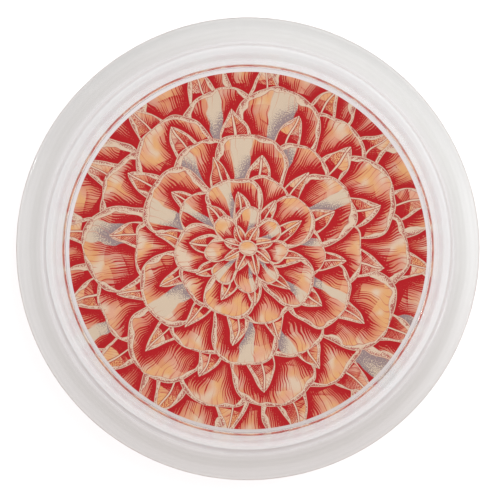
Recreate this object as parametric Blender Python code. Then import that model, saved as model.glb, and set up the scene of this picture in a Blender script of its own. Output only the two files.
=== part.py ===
"""Round coaster of clear pressed glass: a sunken floor, a short steep wall and a wide flat rim.
A printed sheet is glued face up under the floor, and a felt disc under the sheet keeps it off the table.

Metres, +Z up. The origin is the centre of the felt's underside, on the table, and +Z is the axis of turning.
"""

import math

import bpy
from mathutils import Matrix, Vector

# Driving dimensions of the glass. Heights here are above the glass's own underside.
RIM_RADIUS = 0.0570  # outside edge of the rim
RIM_THICKNESS = 0.0037
RIM_HEIGHT = 0.0136  # top of the rim at its outside edge
RIM_TOP_SLOPE = 0.0006  # how far the rim's top falls on its way in to the lip
RIM_UNDER_SLOPE = 0.0012  # how far the rim's underside falls on its way in to the wall
LIP_RADIUS = 0.0495  # where the rim's top turns down into the hollow
WALL_TOP_RADIUS = 0.0501  # where the wall's outside meets the rim's underside
FLOOR_THICKNESS = 0.0044
HOLLOW_RADIUS = 0.0460  # where the wall's inside meets the floor
FOOT_RADIUS = 0.0457  # where the wall's outside meets the glass's underside

# Rounding of the glass's corners.
RIM_EDGE_ROUND = 0.0008
LIP_ROUND = 0.0006
HOLLOW_ROUND = 0.0010
FOOT_ROUND = 0.0005
UNDER_RIM_ROUND = 0.0030

# The layers glued under the glass.
SHEET_RADIUS = 0.0455  # a picture 89 mm across and a margin of 1 mm
SHEET_THICKNESS = 0.0003
FELT_RADIUS = 0.0442
FELT_THICKNESS = 0.0015
FELT_EDGE_ROUND = 0.0003
GLUE_GAP = 0.0003  # the adhesive between two layers, left open

SHEET_BASE = FELT_THICKNESS + GLUE_GAP
GLASS_BASE = SHEET_BASE + SHEET_THICKNESS + GLUE_GAP

TURNING_STEPS = 72  # facets round the axis
ARC_STEPS = 4  # facets along a rounded corner
AXIS_MERGE = 0.00002  # joins the copies of an outline's end points, which lie on the axis


def clear_scene():
    for item in list(bpy.data.objects):
        bpy.data.objects.remove(item)


def make_material(name, color, roughness, transmission=0.0):
    material = bpy.data.materials.new(name)
    material.use_nodes = True
    shader = material.node_tree.nodes["Principled BSDF"]
    shader.inputs["Base Color"].default_value = (*color, 1.0)
    shader.inputs["Metallic"].default_value = 0.0
    shader.inputs["Roughness"].default_value = roughness
    shader.inputs["Transmission Weight"].default_value = transmission
    return material


def corner_arc(before, corner, after, radius):
    """The points of the arc that rounds this corner of an outline."""
    before, corner, after = Vector(before), Vector(corner), Vector(after)
    to_before = (before - corner).normalized()
    to_after = (after - corner).normalized()
    half_angle = to_before.angle(to_after) / 2
    tangent_length = radius / math.tan(half_angle)
    centre = corner + (to_before + to_after).normalized() * (radius / math.sin(half_angle))
    first = corner + to_before * tangent_length - centre
    last = corner + to_after * tangent_length - centre
    # angle_signed counts clockwise turns as positive, and Matrix.Rotation anticlockwise ones.
    step_angle = -first.angle_signed(last) / ARC_STEPS
    return [centre + Matrix.Rotation(step_angle * step, 2) @ first for step in range(ARC_STEPS + 1)]


def rounded_outline(corners):
    """The outline through (radius, height, rounding) corners, each rounded by its own radius."""
    points = [corner[:2] for corner in corners]
    outline = []
    for index, (radius, height, rounding) in enumerate(corners):
        if rounding:
            outline += corner_arc(points[index - 1], points[index], points[index + 1], rounding)
        else:
            outline.append(Vector((radius, height)))
    return outline


def turned_body(name, corners, material):
    """A solid of revolution: its outline starts on the axis at the top and runs down the outer side."""
    outline = rounded_outline(corners)
    mesh = bpy.data.meshes.new(name)
    edges = [(index, index + 1) for index in range(len(outline) - 1)]
    mesh.from_pydata([(radius, 0.0, height) for radius, height in outline], edges, [])
    mesh.materials.append(material)
    body = bpy.data.objects.new(name, mesh)
    bpy.context.scene.collection.objects.link(body)
    turning = body.modifiers.new("Turning", "SCREW")
    turning.steps = turning.render_steps = TURNING_STEPS
    turning.use_smooth_shade = True
    turning.use_merge_vertices = True
    turning.merge_threshold = AXIS_MERGE
    return body


def make_glass_dish():
    """A floor, a wall and a rim of nearly one thickness, like a shallow plate."""
    rim_underside = RIM_HEIGHT - RIM_THICKNESS
    dish = turned_body(
        "glass_dish",
        [
            (0.0, FLOOR_THICKNESS, 0.0),
            (HOLLOW_RADIUS, FLOOR_THICKNESS, HOLLOW_ROUND),
            (LIP_RADIUS, RIM_HEIGHT - RIM_TOP_SLOPE, LIP_ROUND),
            (RIM_RADIUS, RIM_HEIGHT, RIM_EDGE_ROUND),
            (RIM_RADIUS, rim_underside, RIM_EDGE_ROUND),
            (WALL_TOP_RADIUS, rim_underside - RIM_UNDER_SLOPE, UNDER_RIM_ROUND),
            (FOOT_RADIUS, 0.0, FOOT_ROUND),
            (0.0, 0.0, 0.0),
        ],
        make_material("clear_soda_glass", (0.96, 0.97, 0.96), 0.02, transmission=1.0),
    )
    dish.location.z = GLASS_BASE


def make_printed_sheet():
    sheet = turned_body(
        "printed_sheet",
        [
            (0.0, SHEET_THICKNESS, 0.0),
            (SHEET_RADIUS, SHEET_THICKNESS, 0.0),
            (SHEET_RADIUS, 0.0, 0.0),
            (0.0, 0.0, 0.0),
        ],
        make_material("coral_printed_paper", (0.57, 0.17, 0.12), 0.55),
    )
    sheet.location.z = SHEET_BASE


def make_felt_base():
    turned_body(
        "felt_base",
        [
            (0.0, FELT_THICKNESS, 0.0),
            (FELT_RADIUS, FELT_THICKNESS, FELT_EDGE_ROUND),
            (FELT_RADIUS, 0.0, FELT_EDGE_ROUND),
            (0.0, 0.0, 0.0),
        ],
        make_material("oatmeal_wool_felt", (0.52, 0.45, 0.36), 0.95),
    )


clear_scene()
make_glass_dish()
make_printed_sheet()
make_felt_base()
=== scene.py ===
import math

import bpy
from mathutils import Matrix, Vector


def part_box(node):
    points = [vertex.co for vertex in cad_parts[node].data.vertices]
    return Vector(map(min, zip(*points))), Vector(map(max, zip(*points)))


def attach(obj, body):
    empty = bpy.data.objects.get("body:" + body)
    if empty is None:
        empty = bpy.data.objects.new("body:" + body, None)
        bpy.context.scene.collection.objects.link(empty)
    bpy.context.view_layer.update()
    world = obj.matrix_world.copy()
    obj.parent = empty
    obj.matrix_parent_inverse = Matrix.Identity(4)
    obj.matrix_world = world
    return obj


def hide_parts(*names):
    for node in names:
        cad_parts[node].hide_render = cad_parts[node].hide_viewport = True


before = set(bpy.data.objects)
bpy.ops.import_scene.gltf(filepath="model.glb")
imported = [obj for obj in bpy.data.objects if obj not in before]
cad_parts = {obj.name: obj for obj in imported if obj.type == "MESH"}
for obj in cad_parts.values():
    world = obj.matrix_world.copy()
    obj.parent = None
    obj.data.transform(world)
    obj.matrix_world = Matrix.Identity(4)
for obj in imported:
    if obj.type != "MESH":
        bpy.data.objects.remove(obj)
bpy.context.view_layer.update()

MM = 0.001

# The kinds of node that are used most, and the setting that eases both ends of a range.
MATH, VECTOR_MATH = "ShaderNodeMath", "ShaderNodeVectorMath"
MIX, RANGE = "ShaderNodeMix", "ShaderNodeMapRange"
SMOOTH = {"interpolation_type": "SMOOTHSTEP"}

# The glass, in mm.
RIM_RADIUS = 57.0
LIP_RADIUS = 49.5  # where the rim's top turns down into the hollow
HOLLOW_RADIUS = 46.0  # where the wall's inside meets the floor
# The outline that it is turned from, as (radius, height above its underside, rounding). It runs from the axis
# over the floor, the wall and the rim, and back underneath. The CAD has the same one.
GLASS_OUTLINE = [
    (0.0, 4.4, 0.0),
    (HOLLOW_RADIUS, 4.4, 1.0),
    (LIP_RADIUS, 13.0, 0.6),
    (RIM_RADIUS, 13.6, 0.8),
    (RIM_RADIUS, 9.9, 0.8),
    (50.1, 8.7, 3.0),
    (45.7, 0.0, 0.5),
    (0.0, 0.0, 0.0),
]
# Its waves and shifts grow from nothing to full between these radii and heights.
WAVY_RADII = (44.0, 50.0)
WAVY_HEIGHTS = (6.8, 15.5)
LIP_SHIFT_RADII = (56.0, 50.2)
FOOT_SHIFT_RADII = (50.0, 46.0)

# The layers glued under it, in mm.
PICTURE_RADIUS = 44.6
PICTURE_CENTRE = (0.1, -0.2, 0.0)
CONTACT = 0.03  # how far the print's face is pressed into the glass, so no air is left between them
SWELLING = 0.05  # how far the paper's wetted back swells into the glue below it
FELT_DEEP = 1.75  # the felt and the rest of that glue, up to the paper's back

INK_COLOURS = {
    "cream": "#D8C2A9",
    "peach": "#DAA589",
    "ochre": "#DCA771",
    "coral": "#C96F5B",
    "red": "#AF141B",
    "outline": "#A2252A",
    "stone": "#D1BFA7",
    "slate": "#8A767B",
}
# The margin's darker, warmer colour is painted shade, for the side of the sheet away from the softbox.
PAPER_COLOURS = {"clean": "#E1DEDE", "painted_shade_margin": "#CFC8C5", "pulp_dark": "#DAD4C8", "pulp_light": "#F2EEE6"}
# The floor's, the wall's and the passing tints belong to the glass; the others are painted shade and light,
# which darken the glass where shade falls and lighten it where light falls.
GLASS_TINTS = {
    "floor": "#E7E5E6",
    "wall": "#F6FCFE",
    "painted_band_shade": "#9A9A99",
    "rim": "#DADAD8",
    "inner_ring": "#F1F1F2",
    "outer_ring": "#E3E3E2",
    "grey": "#7A7671",
    "painted_shade_warm": "#A37D6E",
    "clear": "#FFFFFF",
    "passing": "#E8E5E5",
}
FELT_COLOURS = {"dark": "#A6967F", "light": "#C4B59F", "strand": "#E0D5C2"}


def linear(hex_colour):
    """A linear colour from sRGB hex digits."""
    channels = [int(hex_colour[place : place + 2], 16) / 255 for place in (1, 3, 5)]
    return (*(c / 12.92 if c <= 0.04045 else ((c + 0.055) / 1.055) ** 2.4 for c in channels), 1.0)


def linear_set(hex_colours):
    """The same colours by name, as linear ones."""
    return {name: linear(colour) for name, colour in hex_colours.items()}


def add(tree, kind, inputs=(), **settings):
    """Adds a node. Inputs are values, nodes or sockets, given in order or by name, and None skips one."""
    node = tree.nodes.new(kind)
    for name, value in settings.items():
        setattr(node, name, value)
    sockets = [socket for socket in node.inputs if socket.enabled]
    for place, value in inputs.items() if isinstance(inputs, dict) else enumerate(inputs):
        target = sockets[place] if isinstance(place, int) else next(s for s in sockets if s.name == place)
        if isinstance(value, bpy.types.Node):
            value = next(socket for socket in value.outputs if socket.enabled)
        if isinstance(value, bpy.types.NodeSocket):
            tree.links.new(value, target)
        elif value is not None:
            target.default_value = value
    return node


def new_group(kind, name, inputs, outputs):
    """An empty node group with these sockets, given as {name: socket type}."""
    group = bpy.data.node_groups.new(name, kind)
    for direction, sockets in (("INPUT", inputs), ("OUTPUT", outputs)):
        for socket, socket_type in sockets.items():
            group.interface.new_socket(socket, in_out=direction, socket_type="NodeSocket" + socket_type)
    return group, add(group, "NodeGroupInput").outputs


def new_material(name):
    material = bpy.data.materials.new(name)
    material.use_nodes = True
    material.node_tree.nodes.clear()
    return material, material.node_tree


# Shapes


STEPS_PER_RADIAN = 8  # facets along a rounded corner
SHORTEST_STRAIGHT = 0.5  # a straight of this many mm or less gets no points of its own


def rounded_outline(corners):
    """The outline with its corners rounded, and points along its straights to keep smooth shading true."""
    stretches = []
    for index, (radius, height, rounding) in enumerate(corners):
        corner = Vector((radius, height))
        if not rounding:
            stretches.append([corner])
            continue
        to_before = (Vector(corners[index - 1][:2]) - corner).normalized()
        to_after = (Vector(corners[index + 1][:2]) - corner).normalized()
        half_angle = to_before.angle(to_after) / 2
        centre = corner + (to_before + to_after).normalized() * (rounding / math.sin(half_angle))
        first = corner + to_before * (rounding / math.tan(half_angle)) - centre
        last = corner + to_after * (rounding / math.tan(half_angle)) - centre
        sweep = -first.angle_signed(last)
        steps = max(4, round(abs(sweep) * STEPS_PER_RADIAN))
        arc = (Matrix.Rotation(sweep * step / steps, 2) @ first for step in range(steps + 1))
        stretches.append([centre + spoke for spoke in arc])
    points = list(stretches[0])
    for stretch in stretches[1:]:
        start, end = points[-1], stretch[0]
        length = (end - start).length
        support = min(0.15, length / 4)
        middle = length - 2 * support
        along = [support, *(support + middle * k / 5 for k in range(1, 5)), length - support]
        if length > SHORTEST_STRAIGHT:
            points += [start.lerp(end, distance / length) for distance in along]
        points += stretch
    return points


def turning_tree():
    """Geometry nodes that turn an outline about Z, with the small faults of a piece shaped by hand."""
    tree, ends = new_group(
        "GeometryNodeTree",
        "turning",
        {
            "Geometry": "Geometry",
            "Steps": "Int",
            "Foot Shift": "Vector",
            "Lip Shift": "Vector",
            "Wave Height": "Float",
            "Wave Spread": "Float",
            "Waves": "Float",
            "Seed": "Float",
            "Material": "Material",
        },
        {"Geometry": "Geometry"},
    )
    count = add(tree, "GeometryNodeAttributeDomainSize", (ends["Geometry"],))
    columns = add(tree, MATH, (ends["Steps"], 1.0))
    grid = add(tree, "GeometryNodeMeshGrid", {"Vertices X": columns, "Vertices Y": count})
    index = add(tree, "GeometryNodeInputIndex")
    row = add(tree, MATH, (index, count), operation="FLOORED_MODULO")
    column = add(tree, MATH, (index, count), operation="DIVIDE")
    column = add(tree, MATH, (column,), operation="FLOOR")
    outline = add(
        tree,
        "GeometryNodeSampleIndex",
        {"Geometry": ends["Geometry"], "Value": add(tree, "GeometryNodeInputPosition"), "Index": row},
        data_type="FLOAT_VECTOR",
    )
    place = add(tree, "ShaderNodeSeparateXYZ", (outline,))
    radius, height = place.outputs["X"], place.outputs["Z"]
    share = add(tree, MATH, (column, ends["Steps"]), operation="DIVIDE")
    # Turning clockwise leaves the faces pointing outwards.
    angle = add(tree, MATH, (share, -math.tau), operation="MULTIPLY")
    cosine = add(tree, MATH, (angle,), operation="COSINE")
    sine = add(tree, MATH, (angle,), operation="SINE")
    # The noise is read on a circle and not along the angle, so that the two ends of a turn meet.
    drift = add(tree, MATH, (radius, 30.0), operation="MULTIPLY")
    circle = add(tree, "ShaderNodeCombineXYZ", (cosine, sine, drift))
    noise = add(
        tree,
        "ShaderNodeTexNoise",
        {"Vector": circle, "W": ends["Seed"], "Scale": ends["Waves"], "Detail": 1.0},
        noise_dimensions="4D",
    )
    wave = add(tree, VECTOR_MATH, (noise.outputs["Color"], (0.5, 0.5, 0.5)), operation="SUBTRACT")
    wave = add(tree, "ShaderNodeSeparateXYZ", (wave,))
    outward, raised, lip_share, foot_share = (
        add(tree, RANGE, {"Value": value, "From Min": start * MM, "From Max": full * MM})
        for value, (start, full) in (
            (radius, WAVY_RADII),
            (height, WAVY_HEIGHTS),
            (radius, LIP_SHIFT_RADII),
            (radius, FOOT_SHIFT_RADII),
        )
    )
    spread = add(tree, MATH, (wave.outputs["X"], ends["Wave Spread"]), operation="MULTIPLY")
    spread = add(tree, MATH, (spread, outward, radius), operation="MULTIPLY_ADD")
    lift = add(tree, MATH, (wave.outputs["Y"], ends["Wave Height"]), operation="MULTIPLY")
    lift = add(tree, MATH, (lift, raised, height), operation="MULTIPLY_ADD")
    turned = add(
        tree,
        "ShaderNodeCombineXYZ",
        (
            add(tree, MATH, (spread, cosine), operation="MULTIPLY"),
            add(tree, MATH, (spread, sine), operation="MULTIPLY"),
            lift,
        ),
    )
    # The hollow was ground a little off the axis of the rim, and the foot a little off both.
    off_axis = add(tree, VECTOR_MATH, {"Vector": ends["Lip Shift"], "Scale": lip_share}, operation="SCALE")
    shift = add(tree, MIX, {"Factor": foot_share, "A": off_axis, "B": ends["Foot Shift"]}, data_type="VECTOR")
    placed = add(tree, "GeometryNodeSetPosition", {"Geometry": grid, "Position": turned, "Offset": shift})
    merged = add(tree, "GeometryNodeMergeByDistance", {"Geometry": placed, "Distance": 0.000002})
    smooth = add(tree, "GeometryNodeSetShadeSmooth", (merged,))
    real = add(tree, "GeometryNodeRealizeInstances", (smooth,))
    finished = add(tree, "GeometryNodeSetMaterial", {"Geometry": real, "Material": ends["Material"]})
    add(tree, "NodeGroupOutput", (finished,))
    return tree


def fibre_tree():
    """Geometry nodes that stand short curled fibres round the cut edge of a felt disc."""
    tree, ends = new_group(
        "GeometryNodeTree",
        "edge_fibres",
        {
            "Geometry": "Geometry",
            "Radius": "Float",
            "Lowest": "Float",
            "Highest": "Float",
            "Count": "Int",
            "Length": "Float",
            "Thickness": "Float",
            "Seed": "Int",
            "Material": "Material",
        },
        {"Geometry": "Geometry"},
    )
    edge = add(tree, "GeometryNodeMeshCircle", {"Vertices": ends["Count"], "Radius": ends["Radius"]})
    band = {"Min": ends["Lowest"], "Max": ends["Highest"], "Seed": ends["Seed"]}
    height = add(tree, "ShaderNodeCombineXYZ", (0.0, 0.0, add(tree, "FunctionNodeRandomValue", band)))
    roots = add(tree, "GeometryNodeSetPosition", {"Geometry": edge, "Offset": height})
    curl = add(
        tree,
        "GeometryNodeCurveQuadraticBezier",
        {"Resolution": 4, "Start": (0.0, 0.0, 0.0), "Middle": (0.7, 0.5, 0.0), "End": (0.8, -0.2, 0.0)},
    )
    curl = add(tree, "GeometryNodeTransform", {"Geometry": curl, "Scale": ends["Length"]})
    half_thickness = add(tree, MATH, (ends["Thickness"], 0.5), operation="MULTIPLY")
    section = add(tree, "GeometryNodeCurvePrimitiveCircle", {"Resolution": 3, "Radius": half_thickness})
    fibre = add(tree, "GeometryNodeCurveToMesh", {"Curve": curl, "Profile Curve": section, "Fill Caps": True})
    # Each fibre points outwards, give or take a turn and a tilt, and is rolled about itself.
    root = add(tree, "ShaderNodeSeparateXYZ", (add(tree, "GeometryNodeInputPosition"),))
    heading = add(tree, MATH, (root.outputs["Y"], root.outputs["X"]), operation="ARCTAN2")
    heading = add(tree, "ShaderNodeCombineXYZ", (0.0, 0.0, heading))
    turn = add(
        tree,
        "FunctionNodeRandomValue",
        {"Min": (-math.pi, -0.7, -1.3), "Max": (math.pi, 0.7, 1.3), "Seed": ends["Seed"]},
        data_type="FLOAT_VECTOR",
    )
    turn = add(tree, VECTOR_MATH, (turn, heading))
    next_seed = add(tree, MATH, (ends["Seed"], 1.0))
    size = add(tree, "FunctionNodeRandomValue", {"Min": 0.4, "Max": 1.2, "Seed": next_seed})
    fibres = add(
        tree,
        "GeometryNodeInstanceOnPoints",
        {"Points": roots, "Instance": fibre, "Rotation": turn, "Scale": size},
    )
    real = add(tree, "GeometryNodeRealizeInstances", (fibres,))
    # None reaches below the felt or above it.
    tip = add(tree, "ShaderNodeSeparateXYZ", (add(tree, "GeometryNodeInputPosition"),)).outputs
    held = add(tree, "ShaderNodeClamp", (tip["Z"], ends["Lowest"], ends["Highest"]))
    held = add(tree, "ShaderNodeCombineXYZ", (tip["X"], tip["Y"], held))
    held = add(tree, "GeometryNodeSetPosition", {"Geometry": real, "Position": held})
    finished = add(tree, "GeometryNodeSetMaterial", {"Geometry": held, "Material": ends["Material"]})
    add(tree, "NodeGroupOutput", (finished,))
    return tree


def shaped(name, mesh, tree, inputs):
    """Runs a geometry tree on a mesh and returns the result as a plain mesh object."""
    source = bpy.data.objects.new(name + "_source", mesh)
    bpy.context.scene.collection.objects.link(source)
    modifier = source.modifiers.new(tree.name, "NODES")
    modifier.node_group = tree
    for item in tree.interface.items_tree:
        if item.in_out == "INPUT" and item.name in inputs:
            modifier[item.identifier] = inputs[item.name]
    source.update_tag()
    graph = bpy.context.evaluated_depsgraph_get()
    result = bpy.data.meshes.new_from_object(source.evaluated_get(graph), depsgraph=graph)
    bpy.data.objects.remove(source)
    result.name = name
    # The tree's material has a slot of its own, after the source mesh's empty one.
    used = [slot for slot in result.materials if slot]
    result.materials.clear()
    for material in used:
        result.materials.append(material)
    piece = bpy.data.objects.new(name, result)
    bpy.context.scene.collection.objects.link(piece)
    return piece


def disc_corners(radius, thickness, top_round=0.0, under_round=0.0):
    """The outline of a flat disc, in mm."""
    edge = [(radius, thickness, top_round), (radius, 0.0, under_round)]
    return [(0.0, thickness, 0.0), *edge, (0.0, 0.0, 0.0)]


def turned_piece(name, corners, base, material, steps, **inputs):
    """A closed body of revolution from corners in mm, standing on base in metres."""
    mesh = bpy.data.meshes.new(name)
    mesh.from_pydata([(x * MM, 0.0, z * MM + base) for x, z in rounded_outline(corners)], [], [])
    values = {"Steps": steps, "Material": material}
    values.update({key.replace("_", " ").title(): value for key, value in inputs.items()})
    return shaped(name, mesh, turning, values)


# Finishes


def make_motif_ring():
    """One ring of engraved motifs, laid over what is already drawn.

    Shape carries (along, across, length) of the motif on top, Edges carries (distance in from its outline,
    distance to the outline of whatever covers it, 1 for a leaf), and Dice three random numbers of its own.
    """
    ring, ends = new_group(
        "ShaderNodeTree",
        "motif_ring",
        {
            "Point": "Vector",
            "Count": "Float",
            "Phase": "Float",
            "Base": "Float",
            "Tip": "Float",
            "Half Width": "Float",
            "Foot Taper": "Float",
            "Tip Taper": "Float",
            "Leaf": "Float",
            "Seed": "Float",
            "Shape": "Vector",
            "Edges": "Vector",
            "Dice": "Color",
        },
        {"Shape": "Vector", "Edges": "Vector", "Dice": "Color"},
    )
    spot = add(ring, "ShaderNodeSeparateXYZ", (ends["Point"],))
    radius = add(ring, VECTOR_MATH, (ends["Point"],), operation="LENGTH")
    angle = add(ring, MATH, (spot.outputs["Y"], spot.outputs["X"]), operation="ARCTAN2")
    pace = add(ring, MATH, (ends["Count"], 1 / math.tau), operation="MULTIPLY")
    turn = add(ring, MATH, (angle, pace, ends["Phase"]), operation="MULTIPLY_ADD")
    index = add(ring, MATH, (turn,), operation="ROUND")
    offset = add(ring, MATH, (turn, index), operation="SUBTRACT")
    index = add(ring, MATH, (index, ends["Count"]), operation="FLOORED_MODULO")
    index = add(ring, MATH, (ends["Seed"], 17.31, index), operation="MULTIPLY_ADD")
    dice = add(ring, "ShaderNodeTexWhiteNoise", {"W": index}, noise_dimensions="1D").outputs["Color"]
    rolls = add(ring, "ShaderNodeSeparateColor", (dice,)).outputs
    offset = add(ring, MATH, (rolls[0], 0.04, offset), operation="MULTIPLY_ADD")
    lean = add(ring, MATH, (offset, pace), operation="DIVIDE")
    cosine = add(ring, MATH, (lean,), operation="COSINE")
    sine = add(ring, MATH, (lean,), operation="SINE")
    across = add(ring, MATH, (radius, sine), operation="MULTIPLY")
    along = add(ring, MATH, (radius, cosine), operation="MULTIPLY")
    along = add(ring, MATH, (along, ends["Base"]), operation="SUBTRACT")
    stretch = add(ring, MATH, (rolls[1], 0.06, 0.97), operation="MULTIPLY_ADD")
    length = add(ring, MATH, (ends["Tip"], stretch), operation="MULTIPLY")
    length = add(ring, MATH, (length, ends["Base"]), operation="SUBTRACT")
    share = add(ring, MATH, (along, length), operation="DIVIDE", use_clamp=True)
    held = add(ring, MATH, (share, length), operation="MULTIPLY")
    over = add(ring, MATH, (along, held), operation="SUBTRACT")
    left = add(ring, MATH, (1.0, share), operation="SUBTRACT")
    rise = add(ring, MATH, (share, ends["Foot Taper"]), operation="POWER")
    fall = add(ring, MATH, (left, ends["Tip Taper"]), operation="POWER")
    width = add(ring, MATH, (rise, fall), operation="MULTIPLY")
    width = add(ring, MATH, (width, ends["Half Width"]), operation="MULTIPLY")
    swell = add(ring, MATH, (rolls[2], 0.10, 0.95), operation="MULTIPLY_ADD")
    width = add(ring, MATH, (width, swell), operation="MULTIPLY")
    reach = add(ring, "ShaderNodeCombineXYZ", (across, over, 0.0))
    reach = add(ring, VECTOR_MATH, (reach,), operation="LENGTH")
    inset = add(ring, MATH, (width, reach), operation="SUBTRACT")
    # Dividing by the slope of the outline makes the inset a true distance, so the turned rims keep their
    # width.
    gain = add(ring, MATH, (share, 0.01), operation="MAXIMUM")
    gain = add(ring, MATH, (ends["Foot Taper"], gain), operation="DIVIDE")
    loss = add(ring, MATH, (left, 0.01), operation="MAXIMUM")
    loss = add(ring, MATH, (ends["Tip Taper"], loss), operation="DIVIDE")
    slope = add(ring, MATH, (gain, loss), operation="SUBTRACT")
    slope = add(ring, MATH, (slope, width), operation="MULTIPLY")
    slope = add(ring, MATH, (slope, length), operation="DIVIDE")
    slope = add(ring, MATH, (slope, slope, 1.0), operation="MULTIPLY_ADD")
    slope = add(ring, MATH, (slope,), operation="SQRT")
    inset = add(ring, MATH, (inset, slope), operation="DIVIDE")
    inside = add(ring, MATH, (inset, 0.0), operation="GREATER_THAN")
    shape = add(ring, "ShaderNodeCombineXYZ", (along, across, length))
    shape = add(ring, MIX, {"Factor": inside, "A": ends["Shape"], "B": shape}, data_type="VECTOR")
    below = add(ring, "ShaderNodeSeparateXYZ", (ends["Edges"],)).outputs
    outside = add(ring, MATH, (inset, -1.0), operation="MULTIPLY")
    cover = add(ring, MATH, (below["Y"], outside), operation="MINIMUM")
    under = add(ring, "ShaderNodeCombineXYZ", (below["X"], cover, below["Z"]))
    on_top = add(ring, "ShaderNodeCombineXYZ", (inset, 30.0, ends["Leaf"]))
    edges = add(ring, MIX, {"Factor": inside, "A": under, "B": on_top}, data_type="VECTOR")
    dice = add(ring, MIX, {"Factor": inside, "A": ends["Dice"], "B": dice}, data_type="RGBA")
    add(ring, "NodeGroupOutput", (shape, edges, dice))
    return ring


# Rings of the printed rosette, outermost and lowest first: count, phase, foot and tip radius in mm,
# half width in mm, foot taper, tip taper, and 1 for a pointed leaf or 0 for a scalloped fan.
ROSETTE = [
    (8, 0.00, 20.0, 54.0, 11.5, 0.80, 0.42, 0.0),
    (8, 0.50, 20.0, 53.0, 11.5, 0.80, 0.42, 0.0),
    (16, 0.25, 20.0, 47.5, 4.6, 0.75, 0.80, 1.0),
    (7, 0.00, 12.0, 40.5, 10.6, 0.80, 0.42, 0.0),
    (7, 0.50, 12.0, 40.0, 10.6, 0.80, 0.42, 0.0),
    (14, 0.25, 12.0, 35.0, 3.9, 0.75, 0.80, 1.0),
    (6, 0.00, 6.0, 29.0, 8.8, 0.80, 0.42, 0.0),
    (6, 0.50, 6.0, 28.5, 8.8, 0.80, 0.42, 0.0),
    (12, 0.25, 5.0, 24.0, 3.0, 0.75, 0.80, 1.0),
    (5, 0.00, 3.0, 19.0, 6.6, 0.80, 0.42, 0.0),
    (5, 0.50, 3.0, 18.5, 6.6, 0.80, 0.42, 0.0),
    (10, 0.25, 2.5, 14.5, 2.1, 0.75, 0.80, 1.0),
    (8, 0.00, 1.5, 10.4, 3.0, 0.80, 0.45, 0.0),
    (8, 0.50, 0.5, 6.6, 1.5, 0.75, 0.80, 1.0),
    (1, 0.00, -2.2, 2.2, 2.2, 0.50, 0.50, 0.0),
]


# The engraver's marks, in mm.
FINE_LINES = 0.55  # spacing of the lines that the shade breaks into
VEINS = 1.25  # spacing of the veins
DOTS_PER_MM = 3.3
RIB = {"From Min": 0.24, "From Max": 0.14}  # half a leaf's bare midrib, from its soft edge inwards
RIB_SIDE = 0.27  # from the middle of the rib to the line along it
DRAWN_LINE = {"From Min": 0.11, "From Max": 0.03}  # half a line, from its soft edge inwards


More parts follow.
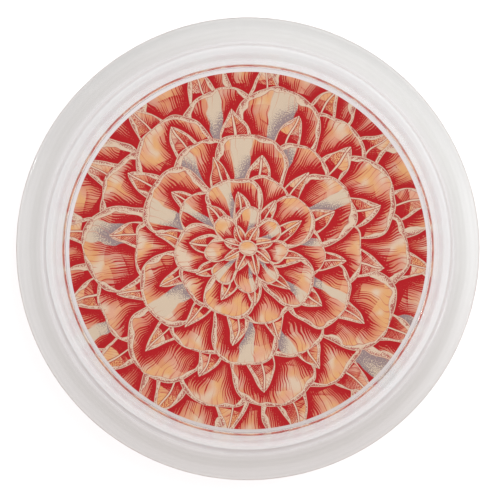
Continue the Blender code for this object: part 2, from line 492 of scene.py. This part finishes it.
def make_engraving():
    """Turns the rosette's fields into inks: solid red in the shade of whatever lies above, breaking up into
    spikes and stipple over peach, thin veins, grey streaks, and a turned rim of bare cream paper."""
    group, ends = new_group(
        "ShaderNodeTree",
        "engraving",
        {"Point": "Vector", "Shape": "Vector", "Edges": "Vector", "Dice": "Color"},
        {"Color": "Color"},
    )
    along, across, length = add(group, "ShaderNodeSeparateXYZ", (ends["Shape"],)).outputs
    rim, cover, leaf = add(group, "ShaderNodeSeparateXYZ", (ends["Edges"],)).outputs
    roll_a, roll_b, roll_c = add(group, "ShaderNodeSeparateColor", (ends["Dice"],)).outputs
    point = ends["Point"]
    drift = {"Vector": point, "Scale": 0.25, "Detail": 0.6}
    drift = add(group, "ShaderNodeTexNoise", drift, noise_dimensions="2D")
    drift = add(group, "ShaderNodeSeparateColor", (drift.outputs["Color"],)).outputs
    sway = add(group, MATH, (drift[0], 2.6, -1.3), operation="MULTIPLY_ADD")
    soft = add(group, MATH, (drift[1], 2.0, -0.5), operation="MULTIPLY_ADD", use_clamp=True)
    grain = {"Vector": point, "Scale": DOTS_PER_MM}
    grain = add(group, "ShaderNodeTexVoronoi", grain, voronoi_dimensions="2D")
    grain = add(group, MATH, (grain.outputs["Distance"], 1.3), operation="MULTIPLY")

    # Lanes fan out from the foot of a scallop, and slant off the midrib of a leaf.
    half = add(group, MATH, (across,), operation="ABSOLUTE")
    side = add(group, MATH, (across,), operation="SIGN")
    hub = add(group, MATH, (length, 0.35, along), operation="MULTIPLY_ADD")
    bearing = add(group, MATH, (across, hub), operation="ARCTAN2")
    fan_lane = add(group, MATH, (bearing, length), operation="MULTIPLY")
    fan_lane = add(group, MATH, (fan_lane, 1.1), operation="MULTIPLY")
    leaf_lane = add(group, MATH, (half, -1.1, along), operation="MULTIPLY_ADD")
    leaf_lane = add(group, MATH, (side, 0.12, leaf_lane), operation="MULTIPLY_ADD")
    lane = add(group, MIX, {"Factor": leaf, "A": fan_lane, "B": leaf_lane})
    wide_sway = add(group, MATH, (sway, 0.5, 0.3), operation="MULTIPLY_ADD")
    lanes = []
    for spacing, start, roll, salt in ((FINE_LINES, sway, roll_a, 97.3), (VEINS, wide_sway, roll_b, 61.7)):
        place = add(group, MATH, (lane, 1 / spacing, start), operation="MULTIPLY_ADD")
        number = add(group, MATH, (place,), operation="FLOOR")
        number = add(group, MATH, (roll, salt, number), operation="MULTIPLY_ADD")
        rolled = add(group, "ShaderNodeTexWhiteNoise", {"W": number}, noise_dimensions="1D").outputs["Value"]
        gap = add(group, MATH, (place, 0.5), operation="PINGPONG")
        lanes.append((rolled, add(group, MATH, (gap, -2.0, 1.0), operation="MULTIPLY_ADD")))
    (fine_roll, fine_gap), (wide_roll, wide_gap) = lanes

    # The turned rim is wider on the larger motifs, and its width wanders.
    band = add(group, MATH, (length, 0.032, 0.40), operation="MULTIPLY_ADD")
    wander = add(group, MATH, (soft, 1.1, 0.45), operation="MULTIPLY_ADD")
    band = add(group, MATH, (band, wander), operation="MULTIPLY")
    wander = add(group, MATH, (roll_c, 0.5, 0.8), operation="MULTIPLY_ADD")
    band = add(group, MATH, (band, wander), operation="MULTIPLY")
    wander = add(group, MATH, (leaf, -0.4, 1.0), operation="MULTIPLY_ADD")
    band = add(group, MATH, (band, wander), operation="MULTIPLY")
    inward = add(group, MATH, (rim, band), operation="SUBTRACT")

    # Shade falls from the covering motif: 1 at its outline and 0 at reach.
    reach = add(group, MATH, (length, 0.065, 0.7), operation="MULTIPLY_ADD")
    vary = add(group, MATH, (roll_b, 0.8, 0.6), operation="MULTIPLY_ADD")
    reach = add(group, MATH, (reach, vary), operation="MULTIPLY")
    shade = add(group, MATH, (cover, reach), operation="DIVIDE")
    shade = add(group, MATH, (1.0, shade), operation="SUBTRACT")
    spike_reach = add(group, MATH, (fine_roll, 1.6, 0.9), operation="MULTIPLY_ADD")
    spike_reach = add(group, MATH, (spike_reach, reach), operation="MULTIPLY")
    spikes = add(group, MATH, (cover, spike_reach), operation="DIVIDE")
    spikes = add(group, MATH, (spikes, -1.3, 1.3), operation="MULTIPLY_ADD")
    spikes = add(group, MATH, (spikes, fine_gap), operation="SUBTRACT")
    spikes = add(group, RANGE, {"Value": spikes, "From Min": -0.1, "From Max": 0.25}, **SMOOTH)
    solid = add(group, MATH, (shade, 1.5, -0.15), operation="MULTIPLY_ADD")
    solid = add(group, MATH, (solid, grain), operation="SUBTRACT")
    solid = add(group, RANGE, {"Value": solid, "From Min": -0.1, "From Max": 0.1}, **SMOOTH)
    vein_length = add(group, MATH, (length, 0.10, 1.0), operation="MULTIPLY_ADD")
    vary = add(group, MATH, (wide_roll, 1.8, 0.1), operation="MULTIPLY_ADD")
    vein_length = add(group, MATH, (vein_length, vary), operation="MULTIPLY")
    faded = add(group, MATH, (inward, vein_length), operation="DIVIDE")
    veins = add(group, MATH, (faded, -0.16, 0.20), operation="MULTIPLY_ADD")
    veins = add(group, MATH, (veins, wide_gap), operation="SUBTRACT")
    veins = add(group, RANGE, {"Value": veins, "From Min": -0.05, "From Max": 0.07}, **SMOOTH)

    # One side of a leaf lies in shade.
    lit = add(group, MATH, (roll_c, 0.5), operation="SUBTRACT")
    lit = add(group, MATH, (lit,), operation="SIGN")
    dark_side = add(group, MATH, (lit, across), operation="MULTIPLY")
    dark_side = add(group, RANGE, {"Value": dark_side, "From Min": -0.1, "From Max": 0.3}, **SMOOTH)
    dark_side = add(group, MATH, (dark_side, leaf), operation="MULTIPLY")
    leaf_tone = add(group, MATH, (along, length), operation="DIVIDE")
    leaf_tone = add(group, MATH, (leaf_tone, -0.5, 1.05), operation="MULTIPLY_ADD")
    leaf_tone = add(group, MATH, (fine_gap, -0.35, leaf_tone), operation="MULTIPLY_ADD")
    leaf_tone = add(group, MATH, (leaf_tone, grain), operation="SUBTRACT")
    leaf_tone = add(group, RANGE, {"Value": leaf_tone, "From Min": -0.1, "From Max": 0.15}, **SMOOTH)
    leaf_tone = add(group, MATH, (leaf_tone, dark_side), operation="MULTIPLY")

    # Inks, laid one over the other.
    warmth = add(group, MATH, (drift[2], 2.4, -0.75), operation="MULTIPLY_ADD")
    warmth = add(group, MATH, (roll_a, 0.6, warmth), operation="MULTIPLY_ADD")
    warmth = add(group, RANGE, {"Value": warmth, "From Min": 0.1, "From Max": 0.9}, **SMOOTH)
    inks = linear_set(INK_COLOURS)
    ripe = add(group, MATH, (drift[0], 3.0, -1.0), operation="MULTIPLY_ADD")
    ripe = add(group, MATH, (roll_c, 0.5, ripe), operation="MULTIPLY_ADD", use_clamp=True)
    fruit = add(group, MIX, {"Factor": ripe, "A": inks["peach"], "B": inks["ochre"]}, data_type="RGBA")
    tint = add(group, MIX, {"Factor": warmth, "A": inks["cream"], "B": fruit}, data_type="RGBA")
    blush = add(group, RANGE, {"Value": shade, "From Min": -1.2, "From Max": 0.3, "To Max": 0.75}, **SMOOTH)
    tint = add(group, MIX, {"Factor": blush, "A": tint, "B": inks["coral"]}, data_type="RGBA")
    ink = add(group, MATH, (spikes, solid), operation="MAXIMUM")
    ink = add(group, MATH, (ink, leaf_tone), operation="MAXIMUM")
    thin = add(group, MATH, (veins, 0.75), operation="MULTIPLY")
    tint = add(group, MIX, {"Factor": thin, "A": tint, "B": inks["coral"]}, data_type="RGBA")
    plain = add(group, MIX, {"Factor": ink, "A": tint, "B": inks["red"]}, data_type="RGBA")

    lean = add(group, MATH, (roll_a, 0.35, -0.175), operation="MULTIPLY_ADD")
    lean = add(group, MATH, (bearing, lean), operation="SUBTRACT")
    lean = add(group, MATH, (lean,), operation="ABSOLUTE")
    streak = add(group, MATH, (roll_c, 0.05, 0.04), operation="MULTIPLY_ADD")
    streak = add(group, MATH, (streak, lean), operation="SUBTRACT")
    streak = add(group, MATH, (soft, 0.03, streak), operation="MULTIPLY_ADD")
    streak = add(group, RANGE, {"Value": streak, "From Min": 0.010, "From Max": 0.020}, **SMOOTH)
    chosen = add(group, MATH, (roll_b, 0.55), operation="GREATER_THAN")
    chosen = add(group, MATH, (chosen, leaf), operation="SUBTRACT", use_clamp=True)
    streak = add(group, MATH, (streak, chosen), operation="MULTIPLY")
    slate = add(group, MATH, (shade, 0.9, 0.25), operation="MULTIPLY_ADD")
    slate = add(group, MATH, (slate, grain), operation="SUBTRACT")
    slate = add(group, RANGE, {"Value": slate, "From Min": -0.3, "From Max": 0.4, "To Max": 0.9}, **SMOOTH)
    stone = add(group, MIX, {"Factor": slate, "A": inks["stone"], "B": inks["slate"]}, data_type="RGBA")
    thin = add(group, MATH, (veins, 0.35), operation="MULTIPLY")
    stone = add(group, MIX, {"Factor": thin, "A": stone, "B": inks["coral"]}, data_type="RGBA")
    body = add(group, MIX, {"Factor": streak, "A": plain, "B": stone}, data_type="RGBA")

    burn = add(group, MATH, (rim, band), operation="DIVIDE")
    burn = add(group, MATH, (burn, -1.35, 1.05), operation="MULTIPLY_ADD")
    burn = add(group, MATH, (fine_roll, 0.5, burn), operation="MULTIPLY_ADD")
    burn = add(group, MATH, (burn, grain), operation="SUBTRACT")
    burn = add(group, RANGE, {"Value": burn, "From Min": 0.0, "From Max": 0.3, "To Max": 0.8}, **SMOOTH)
    bare = add(group, RANGE, {"Value": rim, "From Min": 0.14, "From Max": 0.30}, **SMOOTH)
    burn = add(group, MATH, (burn, bare), operation="MULTIPLY")
    turned = add(group, MIX, {"Factor": burn, "A": inks["cream"], "B": inks["outline"]}, data_type="RGBA")
    on_rim = add(group, RANGE, {"Value": inward, "From Min": 0.06, "From Max": -0.06}, **SMOOTH)
    body = add(group, MIX, {"Factor": on_rim, "A": body, "B": turned}, data_type="RGBA")
    rib = add(group, RANGE, {"Value": half, **RIB}, **SMOOTH)
    rib = add(group, MATH, (rib, leaf), operation="MULTIPLY")
    body = add(group, MIX, {"Factor": rib, "A": body, "B": inks["cream"]}, data_type="RGBA")
    rib_line = add(group, MATH, (half, RIB_SIDE), operation="SUBTRACT")
    rib_line = add(group, MATH, (rib_line,), operation="ABSOLUTE")
    rib_line = add(group, RANGE, {"Value": rib_line, **DRAWN_LINE}, **SMOOTH)
    rib_line = add(group, MATH, (rib_line, leaf), operation="MULTIPLY")
    fold_line = add(group, MATH, (inward,), operation="ABSOLUTE")
    fold_line = add(group, RANGE, {"Value": fold_line, **DRAWN_LINE, "To Max": 0.6}, **SMOOTH)
    edge_line = add(group, RANGE, {"Value": rim, "From Min": 0.10, "From Max": 0.0}, **SMOOTH)
    line = add(group, MATH, (rib_line, fold_line), operation="MAXIMUM")
    line = add(group, MATH, (line, edge_line), operation="MAXIMUM")
    body = add(group, MIX, {"Factor": line, "A": body, "B": inks["outline"]}, data_type="RGBA")
    add(group, "NodeGroupOutput", (body,))
    return group


def make_print_material():
    """Art paper printed in coral, peach and cream inks, and wetted out by the glue. That gives it deep
    colours and hardly any texture."""
    material, tree = new_material("engraved_art_print")
    place = add(tree, "ShaderNodeTexCoord").outputs["Object"]
    point = add(tree, VECTOR_MATH, (place, (1 / MM, 1 / MM, 0.0)), operation="MULTIPLY")
    # The engraver's hand: outlines wander by a millimetre over a span of some eight.
    bend = {"Vector": point, "Scale": 0.12, "Detail": 0.5}
    bend = add(tree, "ShaderNodeTexNoise", bend, noise_dimensions="2D").outputs["Color"]
    bend = add(tree, VECTOR_MATH, (bend, (0.5, 0.5, 0.5)), operation="SUBTRACT")
    drawn = add(tree, VECTOR_MATH, (bend, (2.6, 2.6, 0.0), point), operation="MULTIPLY_ADD")
    motif_ring = make_motif_ring()
    top = [(30.0, 0.0, 30.0), (30.0, 30.0, 0.0), (0.5, 0.5, 0.5, 1.0)]
    for seed, (count, phase, foot, tip, half_width, foot_taper, tip_taper, leaf) in enumerate(ROSETTE):
        # The tapers are scaled by their highest product, so that the widest place has the half width given.
        peak_at = foot_taper / (foot_taper + tip_taper)
        peak = peak_at**foot_taper * (1 - peak_at) ** tip_taper
        size = (count, phase, foot, tip, half_width / peak, foot_taper, tip_taper, leaf)
        motifs = add(tree, "ShaderNodeGroup", (drawn, *size, seed + 1.0, *top), node_tree=motif_ring)
        top = list(motifs.outputs)
    picture = add(tree, "ShaderNodeGroup", (point, *top), node_tree=make_engraving())
    # The sheet was trimmed outside the picture and a little off its centre, which leaves a narrow margin of
    # bare paper. The margin is painted darker and warmer towards -Y, as painted shade on the side away from
    # the softbox.
    papers = linear_set(PAPER_COLOURS)
    off_centre = add(tree, VECTOR_MATH, (point, PICTURE_CENTRE), operation="SUBTRACT")
    radius = add(tree, VECTOR_MATH, (off_centre,), operation="LENGTH").outputs["Value"]
    in_margin = {"Value": radius, "From Min": PICTURE_RADIUS - 0.05, "From Max": PICTURE_RADIUS + 0.05}
    in_margin = add(tree, RANGE, in_margin, **SMOOTH)
    across = add(tree, "ShaderNodeSeparateXYZ", (point,)).outputs["Y"]
    painted_shade_margin = add(tree, RANGE, {"Value": across, "From Min": 0.0, "From Max": -45.0})
    paper = {"Factor": painted_shade_margin, "A": papers["clean"], "B": papers["painted_shade_margin"]}
    paper = add(tree, MIX, paper, data_type="RGBA")
    colour = add(tree, MIX, {"Factor": in_margin, "A": picture, "B": paper}, data_type="RGBA")
    surface = add(
        tree,
        "ShaderNodeBsdfPrincipled",
        {"Base Color": colour, "Roughness": 0.55, "Specular IOR Level": 0.25},
    )
    add(tree, "ShaderNodeOutputMaterial", (surface,))
    return material


# Where each finish of the glass begins and is complete, as radii in mm, how strong it gets, and how it is
# eased.
GLASS_ZONES = {
    "wall": (45.4, 46.4, 1.0, SMOOTH),
    "rim": (49.2, 50.4, 1.0, SMOOTH),
    "outer rings": (50.5, 53.0, 1.0, {}),
    "edge": (53.2, 55.5, 1.0, {}),
    "painted light edge": (56.3, 56.9, 0.35, {}),
}
# Spacing of the rim's painted rings of light and shade, and of the finer ones.
PAINTED_RINGS, FINE_RINGS = 5.4, 1.15  # spacing in mm
FIRST_RING = 50.9  # the radius of the lightest, with the 0.8 mm that the wander adds on average
FLOOR_HAZE, WALL_HAZE, RIM_HAZE = 0.04, 0.20, 0.11


def make_glass_material():
    """Pressed soda lime glass, fire polished. The floor is clear and nearly colourless, and the wall has a
    faint cool tint.
    The rim is painted greyer as painted shade, with soft painted rings of light and shade, and painted shade
    and light lie on the lip, the wall's foot, the sides and the rim's edge."""
    material, tree = new_material("clear_soda_lime_glass")
    tints = linear_set(GLASS_TINTS)
    place = add(tree, "ShaderNodeTexCoord").outputs["Object"]
    spot = add(tree, VECTOR_MATH, (place, (1 / MM, 1 / MM, 0.0)), operation="MULTIPLY")
    radius = add(tree, VECTOR_MATH, (spot,), operation="LENGTH").outputs["Value"]
    zones = {}
    for name, (start, full, most, easing) in GLASS_ZONES.items():
        zone = {"Value": radius, "From Min": start, "From Max": full, "To Max": most}
        zones[name] = add(tree, RANGE, zone, **easing)
    # Painted rings of light and shade on the rim, lightest beside the lip, with finer rings over them. They
    # wander by half a millimetre.
    cords = add(tree, "ShaderNodeTexNoise", {"Vector": place, "Scale": 45.0, "Detail": 3.0})
    wandering = add(tree, MATH, (cords, 1.6, radius), operation="MULTIPLY_ADD")
    ring = add(tree, MATH, (wandering, FIRST_RING), operation="SUBTRACT")
    ring = add(tree, MATH, (ring, math.tau / PAINTED_RINGS), operation="MULTIPLY")
    ring = add(tree, MATH, (ring,), operation="COSINE")
    ring = add(tree, MATH, (ring, 0.5, 0.5), operation="MULTIPLY_ADD")
    fine_ring = add(tree, MATH, (wandering, math.tau / FINE_RINGS), operation="MULTIPLY")
    fine_ring = add(tree, MATH, (fine_ring,), operation="COSINE")
    ring = add(tree, MATH, (fine_ring, 0.2, ring), operation="MULTIPLY_ADD")
    # Painted shade: the wall and the rim are painted a little darker and warmer towards -Y, the side away
    # from the softbox, and the rim's edge is painted greyer towards +Y.
    lean = add(tree, "ShaderNodeSeparateXYZ", (spot,)).outputs["Y"]
    painted_shade_near = add(tree, RANGE, {"Value": lean, "From Min": 0.0, "From Max": -50.0, "To Max": 0.12})
    painted_shade_near = add(tree, MATH, (painted_shade_near, zones["wall"]), operation="MULTIPLY")
    painted_shade_far = add(tree, RANGE, {"Value": lean, "From Min": 10.0, "From Max": 50.0, "To Max": 0.25})
    painted_shade_far = add(tree, MATH, (painted_shade_far, zones["edge"]), operation="MULTIPLY")
    # Painted shade: a grey band is painted under the lip, darkest on one side, and a faint one at the wall's
    # foot, standing in for the shade seen through the glass there.
    lopsided = (spot, (0.006, 0.017, 0.0))
    lopsided = add(tree, VECTOR_MATH, lopsided, operation="DOT_PRODUCT").outputs["Value"]
    lip_shade_amount = add(tree, MATH, (lopsided, 0.29, 0.26), operation="MULTIPLY_ADD")
    bends = []
    for middle, reach, grey in ((LIP_RADIUS - 0.5, 1.3, lip_shade_amount), (HOLLOW_RADIUS + 0.4, 0.8, 0.13)):
        bend = add(tree, MATH, (radius, middle), operation="SUBTRACT")
        bend = add(tree, MATH, (bend,), operation="ABSOLUTE")
        bend = add(tree, RANGE, {"Value": bend, "From Min": reach, "From Max": 0.1}, **SMOOTH)
        bends.append(add(tree, MATH, (bend, grey), operation="MULTIPLY"))
    # Tints, laid one over the other. The last of the rim's edge is painted lighter than the rest, as painted
    # light.
    # The rim is painted greyer as painted shade, and its rings lighten it as painted light.
    light_tint = {"Factor": zones["outer rings"], "A": tints["inner_ring"], "B": tints["outer_ring"]}
    light_tint = add(tree, MIX, light_tint, data_type="RGBA")
    rim_tint = tints["rim"]
    for share, over in ((ring, light_tint), (painted_shade_far, tints["grey"])):
        rim_tint = add(tree, MIX, {"Factor": share, "A": rim_tint, "B": over}, data_type="RGBA")
    tint = tints["floor"]
    for share, over in (
        (zones["wall"], tints["wall"]),
        (zones["rim"], rim_tint),
        (painted_shade_near, tints["painted_shade_warm"]),
        (bends[0], tints["painted_band_shade"]),
        (bends[1], tints["painted_band_shade"]),
        (zones["painted light edge"], tints["clear"]),
    ):
        tint = add(tree, MIX, {"Factor": share, "A": tint, "B": over}, data_type="RGBA")
    # The wall has kept the skin of the mould, and the rim was polished in the flame.
    haze = add(tree, RANGE, {"Value": zones["wall"], "To Min": FLOOR_HAZE, "To Max": WALL_HAZE})
    haze = add(tree, MATH, (zones["rim"], RIM_HAZE - WALL_HAZE, haze), operation="MULTIPLY_ADD")
    # The lip has been rubbed by whatever was stood in the hollow.
    rubbed = add(tree, MATH, (radius, LIP_RADIUS + 0.1, 1.0), operation="COMPARE")
    haze = add(tree, MATH, (rubbed, 0.2, haze), operation="MULTIPLY_ADD")
    glass = add(
        tree,
        "ShaderNodeBsdfPrincipled",
        {"Base Color": tint, "Roughness": haze, "IOR": 1.5, "Transmission Weight": 1.0},
    )
    # Light that only passes through on its way to the print and the table isn't bent, so it arrives without
    # noise.
    clear = add(tree, "ShaderNodeBsdfTransparent", {"Color": tints["passing"]})
    path = add(tree, "ShaderNodeLightPath").outputs
    passing = add(tree, MATH, (path["Is Shadow Ray"], path["Is Diffuse Ray"]), operation="MAXIMUM")
    surface = add(tree, "ShaderNodeMixShader", (passing, glass, clear))
    add(tree, "ShaderNodeOutputMaterial", (surface,))
    return material


def make_felt_material():
    """Undyed wool felt, pressed and cut. The eye sees curly fibres that lie every way, light ones over darker
    ones, and no gloss."""
    material, tree = new_material("pressed_wool_felt")
    wools = linear_set(FELT_COLOURS)
    place = add(tree, "ShaderNodeTexCoord").outputs["Object"]
    point = add(tree, VECTOR_MATH, (place, (1 / MM, 1 / MM, 1 / MM)), operation="MULTIPLY")
    curl = add(tree, "ShaderNodeTexNoise", {"Vector": point, "Scale": 0.7, "Detail": 1.0})
    curl = (curl.outputs["Color"], (2.4, 2.4, 2.4), point)
    curled = add(tree, VECTOR_MATH, curl, operation="MULTIPLY_ADD")
    # A wool fibre is 0.03 mm thick, too fine to show, so the strands are drawn 0.15 mm apart and 2 mm long.
    strands = 0.0
    for heading in (20.0, 80.0, 140.0):
        laid = {"Vector": curled, "Angle": math.radians(heading)}
        laid = add(tree, "ShaderNodeVectorRotate", laid, rotation_type="Z_AXIS")
        laid = add(tree, VECTOR_MATH, (laid, (0.5, 3.3, 3.3)), operation="MULTIPLY")
        strand = {"Vector": laid, "Scale": 1.0, "Detail": 1.0, "Distortion": 0.3}
        strand = add(tree, "ShaderNodeTexNoise", strand)
        strand = add(tree, MATH, (strand, 0.5), operation="SUBTRACT")
        strand = add(tree, MATH, (strand,), operation="ABSOLUTE")
        strand = add(tree, RANGE, {"Value": strand, "From Min": 0.1, "From Max": 0.0})
        strands = add(tree, MATH, (strands, strand), operation="MAXIMUM")
    clouds = add(tree, "ShaderNodeTexNoise", {"Vector": point, "Scale": 0.25, "Detail": 3.0})
    ground = add(tree, MIX, {"Factor": clouds, "A": wools["dark"], "B": wools["light"]}, data_type="RGBA")
    tone = add(tree, MIX, {"Factor": strands, "A": ground, "B": wools["strand"]}, data_type="RGBA")
    bump = add(tree, "ShaderNodeBump", {"Height": strands, "Strength": 0.6, "Distance": 0.0001})
    surface = add(
        tree,
        "ShaderNodeBsdfPrincipled",
        {
            "Base Color": tone,
            "Roughness": 0.95,
            "Specular IOR Level": 0.2,
            "Normal": bump,
            "Sheen Weight": 0.3,
        },
    )
    add(tree, "ShaderNodeOutputMaterial", (surface,))
    return material


def make_core_material():
    """The back and the cut edge of the art paper: bare white pulp with a faint mottle."""
    material, tree = new_material("white_paper_core")
    papers = linear_set(PAPER_COLOURS)
    place = add(tree, "ShaderNodeTexCoord").outputs["Object"]
    pulp = add(tree, "ShaderNodeTexNoise", {"Vector": place, "Scale": 2500.0, "Detail": 3.0})
    tone = {"Factor": pulp, "A": papers["pulp_dark"], "B": papers["pulp_light"]}
    tone = add(tree, MIX, tone, data_type="RGBA")
    surface = add(tree, "ShaderNodeBsdfPrincipled", {"Base Color": tone, "Roughness": 0.8})
    add(tree, "ShaderNodeOutputMaterial", (surface,))
    return material


# Pieces

DISH_FACETS, DISC_FACETS = 384, 256  # round the axis

glass_low, glass_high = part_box("glass_dish")
sheet_low, sheet_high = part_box("printed_sheet")
felt_low, felt_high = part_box("felt_base")
turning = turning_tree()

dish = turned_piece(
    "clear_glass_dish",
    GLASS_OUTLINE,
    glass_low.z,
    make_glass_material(),
    DISH_FACETS,
    foot_shift=(0.0001, -0.00013, 0.0),
    lip_shift=(0.00008, 0.00028, 0.0),
    wave_height=0.0004,
    wave_spread=0.0005,
    waves=0.9,
    seed=3.0,
)

sheet_deep = (glass_low.z - sheet_low.z) / MM + SWELLING + CONTACT
sheet = turned_piece(
    "art_print_disc",
    disc_corners(sheet_high.x / MM, sheet_deep),
    sheet_low.z - SWELLING * MM,
    make_print_material(),
    DISC_FACETS,
    foot_shift=(0.00005, -0.0002, 0.0),
)
sheet.data.materials.append(make_core_material())
for face in sheet.data.polygons:
    face.material_index = 0 if face.normal.z > 0.5 else 1

wool = make_felt_material()
felt = turned_piece(
    "wool_felt_disc",
    disc_corners(felt_high.x / MM, FELT_DEEP, top_round=0.4, under_round=0.3),
    felt_low.z,
    wool,
    DISC_FACETS,
    wave_spread=0.0003,
    waves=6.0,
)
fibres = shaped(
    "wool_edge_fibres",
    bpy.data.meshes.new("no_source"),
    fibre_tree(),
    {
        "Radius": felt_high.x - 0.15 * MM,
        "Lowest": felt_low.z + 0.05 * MM,
        "Highest": felt_high.z + 0.15 * MM,
        "Count": 2000,
        "Length": 1.2 * MM,
        "Thickness": 0.05 * MM,
        "Seed": 7,
        "Material": wool,
    },
)

for piece, node, slot in (
    (dish, "glass_dish", "clear_glass"),
    (sheet, "printed_sheet", "printed_paper"),
    (felt, "felt_base", "wool_felt"),
    (fibres, "felt_base", "wool_felt"),
):
    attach(piece, "root")
    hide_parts(node)

# Studio

FLOOR_REACH = 2.0
CORNER_SIGNS = ((-1, -1), (1, -1), (1, 1), (-1, 1))

floor_mesh = bpy.data.meshes.new("studio_floor")
# The floor lies a hair below the felt, so that the two don't share a plane.
floor_height = felt_low.z - 0.1 * MM
corners = [(x * FLOOR_REACH, y * FLOOR_REACH, floor_height) for x, y in CORNER_SIGNS]
floor_mesh.from_pydata(corners, [], [(0, 1, 2, 3)])
floor = bpy.data.objects.new("studio_floor", floor_mesh)
bpy.context.scene.collection.objects.link(floor)
white, tree = new_material("white_studio_floor")
paint = {"Base Color": (0.86, 0.86, 0.86, 1.0), "Roughness": 0.9, "Specular IOR Level": 0.0}
paint = add(tree, "ShaderNodeBsdfPrincipled", paint)
add(tree, "ShaderNodeOutputMaterial", (paint,))
floor_mesh.materials.append(white)

world = bpy.data.worlds.new("studio_air")
bpy.context.scene.world = world
world.use_nodes = True
# A light tent, with a dark opening overhead that the camera looks through. The flat glass mirrors only the
# opening, so the print under it keeps its full depth of colour.
air = world.node_tree
air.nodes.clear()
toward_light = add(air, "ShaderNodeTexCoord").outputs["Generated"]
upward = add(air, "ShaderNodeSeparateXYZ", (toward_light,)).outputs["Z"]
walls = {"Value": upward, "From Min": 0.2, "From Max": 0.75, "To Min": 0.45, "To Max": 1.3}
walls = add(air, RANGE, walls)
opening = {"Value": upward, "From Min": 0.93, "From Max": 0.98, "To Min": walls, "To Max": 0.05}
tent = add(air, RANGE, opening, **SMOOTH)
# The tent is over a third brighter on the softbox's side than opposite it.
across = add(air, VECTOR_MATH, (toward_light, (0.55, 0.83, 0.0)), operation="DOT_PRODUCT").outputs["Value"]
across = add(air, MATH, (across, 0.16, 1.0), operation="MULTIPLY_ADD")
tent = add(air, MATH, (tent, across), operation="MULTIPLY")
sky = add(air, "ShaderNodeBackground", {"Color": (1.0, 1.0, 1.0, 1.0), "Strength": tent})
add(air, "ShaderNodeOutputWorld", (sky,))

middle = Vector((0.0, 0.0, glass_high.z / 2))


def hang_lamp(name, place, watts):
    """An area lamp that faces the middle of the coaster."""
    light = bpy.data.lights.new(name, "AREA")
    light.energy = watts
    lamp = bpy.data.objects.new(name, light)
    lamp.location = place
    lamp.rotation_euler = (middle - lamp.location).to_track_quat("-Z", "Y").to_euler()
    bpy.context.scene.collection.objects.link(lamp)
    return lamp


softbox = hang_lamp("softbox", (0.36, 0.36, 0.9), 7.5)
softbox.data.size = 0.5
softbox.visible_glossy = False
softbox.visible_transmission = False

# A narrow strip lamp across the room, which only shows as a glint at the foot of the wall.
strip = hang_lamp("strip_lamp", (-0.643, 0.263, 0.72), 0.8)
strip.data.shape = "RECTANGLE"
strip.data.size, strip.data.size_y = 0.04, 0.12
strip.visible_diffuse = False

# The camera looks straight down from 0.9 m, a hair short of upright.
DISTANCE = 0.9
ELEVATION = math.radians(88.7)
SENSOR_WIDTH = 36.0
RIM_NEARER = 0.006  # the rim is this much nearer to the camera than the point that the camera is aimed at
RIM_SHARE = 0.92492  # of the frame's width that the rim takes up
lens = bpy.data.cameras.new("overhead")
camera = bpy.data.objects.new("overhead", lens)
back = Vector((0.0, -math.cos(ELEVATION), math.sin(ELEVATION)))
camera.location = middle + back * DISTANCE
camera.rotation_euler = (-back).to_track_quat("-Z", "Y").to_euler()
lens.sensor_width = SENSOR_WIDTH
lens.lens = SENSOR_WIDTH / 2 * (DISTANCE - RIM_NEARER) / (glass_high.x / RIM_SHARE)
lens.shift_x = 0.0046
lens.shift_y = -0.0015
bpy.context.scene.collection.objects.link(camera)
bpy.context.scene.camera = camera
bpy.context.scene.view_settings.view_transform = "Standard"
